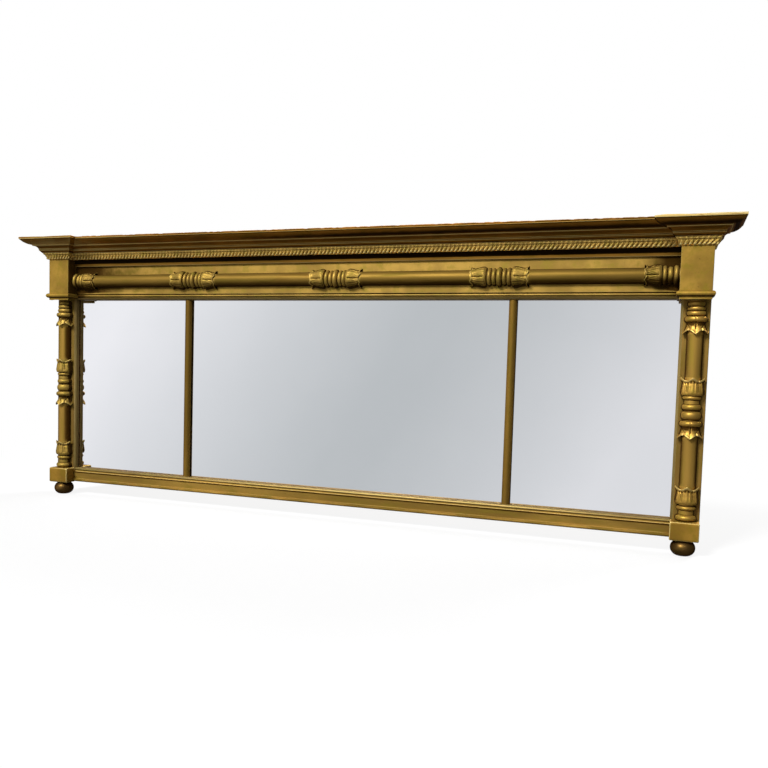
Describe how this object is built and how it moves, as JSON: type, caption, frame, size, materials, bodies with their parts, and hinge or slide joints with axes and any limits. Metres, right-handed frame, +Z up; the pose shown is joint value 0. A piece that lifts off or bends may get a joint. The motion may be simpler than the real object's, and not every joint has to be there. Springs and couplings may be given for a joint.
{
  "type": "overmantel mirror",
  "caption": "Gilt overmantel mirror with three glass plates, split-turned columns, a leaf-carved breakfront cornice and bun feet.",
  "frame": {"origin": "middle of the wall face on the back of the bottom rail", "axes": "+X along the frame, +Y back into the wall, +Z up"},
  "size_m": [1.521, 0.1098, 0.592],
  "materials": {
    "silvered_glass": "silvered plate glass",
    "backboard_pine": "bare aged pine",
    "inner_pine": "bare pine",
    "iron_fixings": "dull iron",
    "hanger_brass": "tarnished brass",
    "gilt_frame": "satin gilding on wood, worn",
    "gilt_slips": "satin gilding on wood, worn",
    "gilt_carving": "satin gilding with dark recesses",
    "gilt_cornice": "satin gilding on wood, worn",
    "gilt_feet": "satin gilding on wood, worn",
    "gilt_turning": "satin gilding on wood, worn",
    "gilt_blocks": "satin gilding on wood, worn"
  },
  "bodies": {
    "mirror_frame": {"left_stile": "gilt_frame", "right_stile": "gilt_frame", "frieze_board": "gilt_frame", "bottom_rail": "gilt_frame", "left_slip": "gilt_slips", "right_slip": "gilt_slips", "top_slip": "gilt_slips", "bottom_slip": "gilt_slips", "left_glazing_bar": "gilt_slips", "right_glazing_bar": "gilt_slips", "left_mirror_plate": "silvered_glass", "centre_mirror_plate": "silvered_glass", "right_mirror_plate": "silvered_glass", "left_backboard": "backboard_pine", "centre_backboard": "backboard_pine", "right_backboard": "backboard_pine", "glass_wedges": "inner_pine", "backboard_nails": "iron_fixings", "main_cornice": "gilt_cornice", "frieze_cove": "gilt_cornice", "main_leaf_strip": "gilt_carving", "left_cornice_cap": "gilt_cornice", "right_cornice_cap": "gilt_cornice", "left_leaf_strip": "gilt_carving", "right_leaf_strip": "gilt_carving", "left_corner_block": "gilt_blocks", "right_corner_block": "gilt_blocks", "left_block_bead": "gilt_blocks", "right_block_bead": "gilt_blocks", "frieze_shaft_outer_left": "gilt_turning", "frieze_shaft_inner_left": "gilt_turning", "frieze_shaft_inner_right": "gilt_turning", "frieze_shaft_outer_right": "gilt_turning", "frieze_collar_left": "gilt_carving", "frieze_collar_centre": "gilt_carving", "frieze_collar_right": "gilt_carving", "frieze_end_cup_left": "gilt_carving", "frieze_end_cup_right": "gilt_carving", "left_column_capital": "gilt_carving", "left_upper_shaft": "gilt_turning", "left_column_collar": "gilt_carving", "left_lower_shaft": "gilt_turning", "left_column_base": "gilt_carving", "right_column_capital": "gilt_carving", "right_upper_shaft": "gilt_turning", "right_column_collar": "gilt_carving", "right_lower_shaft": "gilt_turning", "right_column_base": "gilt_carving", "left_plinth": "gilt_blocks", "right_plinth": "gilt_blocks", "left_bun_foot": "gilt_feet", "right_bun_foot": "gilt_feet", "foot_dowels": "inner_pine", "cornice_screws": "iron_fixings", "left_hanger_plate": "hanger_brass", "right_hanger_plate": "hanger_brass", "hanger_screws": "iron_fixings"},
    "left_ring": {"left_hanger_ring": "hanger_brass"},
    "right_ring": {"right_hanger_ring": "hanger_brass"}
  },
  "joints": [
    {"name": "left_ring_hinge", "type": "hinge", "parent": "mirror_frame", "child": "left_ring", "pos_m": [-0.52, -0.00405, 0.51025], "axis": [1, 0, 0], "range_deg": [0, 180]},
    {"name": "right_ring_hinge", "type": "hinge", "parent": "mirror_frame", "child": "right_ring", "pos_m": [0.52, -0.00405, 0.51025], "axis": [1, 0, 0], "range_deg": [0, 180]}
  ]
}
